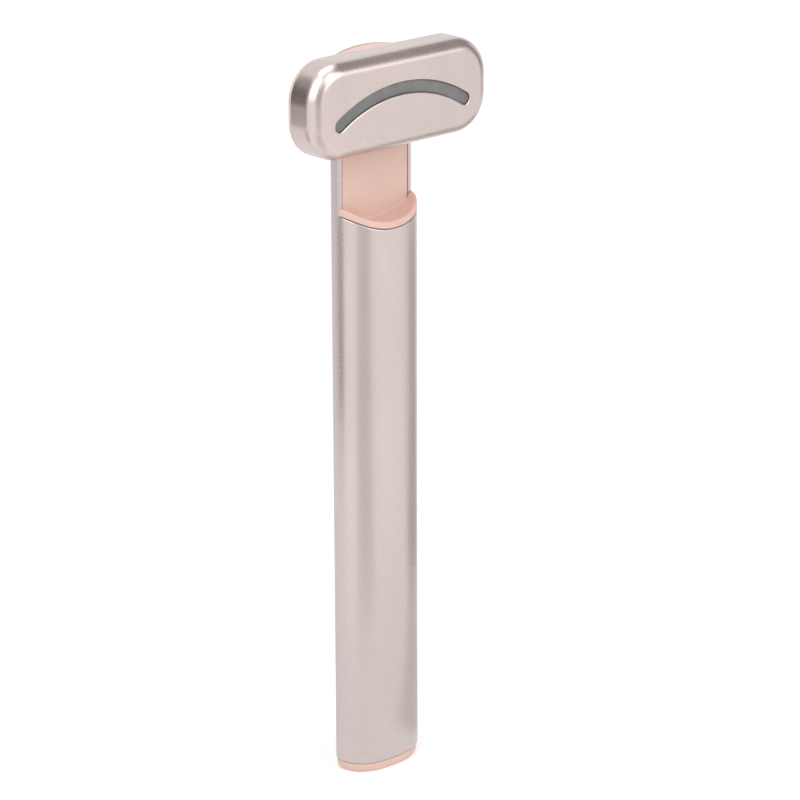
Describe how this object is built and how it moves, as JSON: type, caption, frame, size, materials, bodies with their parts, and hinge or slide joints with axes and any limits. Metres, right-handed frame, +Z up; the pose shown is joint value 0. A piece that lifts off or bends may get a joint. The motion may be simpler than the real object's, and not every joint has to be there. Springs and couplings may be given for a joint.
{
  "type": "heated eye massager wand",
  "caption": "Slim oval metal wand with a T-shaped rounded head that swivels on its neck, a curved light window in the head's face and a moulded neck panel.",
  "frame": {"origin": "centre of the foot at the end cap's underside, which is the centre of the charging socket's mouth", "axes": "+Z up the handle to the head, -Y the way the head's face looks, +X to the viewer's right when facing the head"},
  "size_m": [0.048, 0.0128, 0.158],
  "materials": {
    "satin_metal": "satin, fine blasted grain, champagne anodised",
    "cover_metal": "satin, fine blasted grain, champagne anodised",
    "peach_plastic": "soft matt moulded plastic",
    "base_plastic": "soft matt moulded plastic",
    "smoky_lens": "smoky translucent, smooth",
    "steel": "plain",
    "brass": "plain",
    "seal_rubber": "matt",
    "black_plastic": "matt",
    "white_plastic": "matt",
    "board_green": "solder mask",
    "chip_black": "matt package",
    "cell_foil": "foil pouch",
    "foam": "closed-cell foam",
    "film_copper": "polyimide film with copper tracks",
    "flex_amber": "polyimide film",
    "lamp": "clear lamp package",
    "wire_red": "insulation",
    "wire_blue": "insulation"
  },
  "bodies": {
    "handle": {"handle_shell": "satin_metal", "neck_inlay": "peach_plastic", "end_cap": "peach_plastic", "end_seal": "seal_rubber", "charge_socket": "steel", "socket_tongue": "black_plastic", "main_board": "board_green", "board_parts": "chip_black", "chassis": "black_plastic", "battery": "cell_foil", "battery_pad": "foam", "battery_leads": "wire_red", "shell_spring": "brass", "motor_sleeve": "seal_rubber", "motor_can": "steel", "motor_leads": "wire_blue", "flex_cable": "flex_amber", "contact_board": "board_green", "pivot_bush": "white_plastic", "friction_washer": "steel"},
    "motor_rotor": {"motor_shaft": "steel", "motor_weight": "brass"},
    "head": {"head_base": "base_plastic", "head_seal": "seal_rubber", "pivot_hub": "steel", "hub_screws": "steel", "retaining_ring": "steel", "contact_rotor": "black_plastic", "contact_pins": "brass", "head_leads": "wire_red", "head_cover": "cover_metal", "light_lens": "smoky_lens", "lamp_board": "white_plastic", "lamps": "lamp", "heater_film": "film_copper", "heater_leads": "wire_red", "heat_sensor": "chip_black"}
  },
  "joints": [
    {"name": "head_swivel", "type": "hinge", "parent": "handle", "child": "head", "pos_m": [0, 0, 0.148], "axis": [0, 1, 0], "range_deg": [-90, 90]},
    {"name": "motor_spin", "type": "hinge", "parent": "handle", "child": "motor_rotor", "pos_m": [0, -0.0004, 0.11], "axis": [0, 0, 1], "continuous": true}
  ]
}
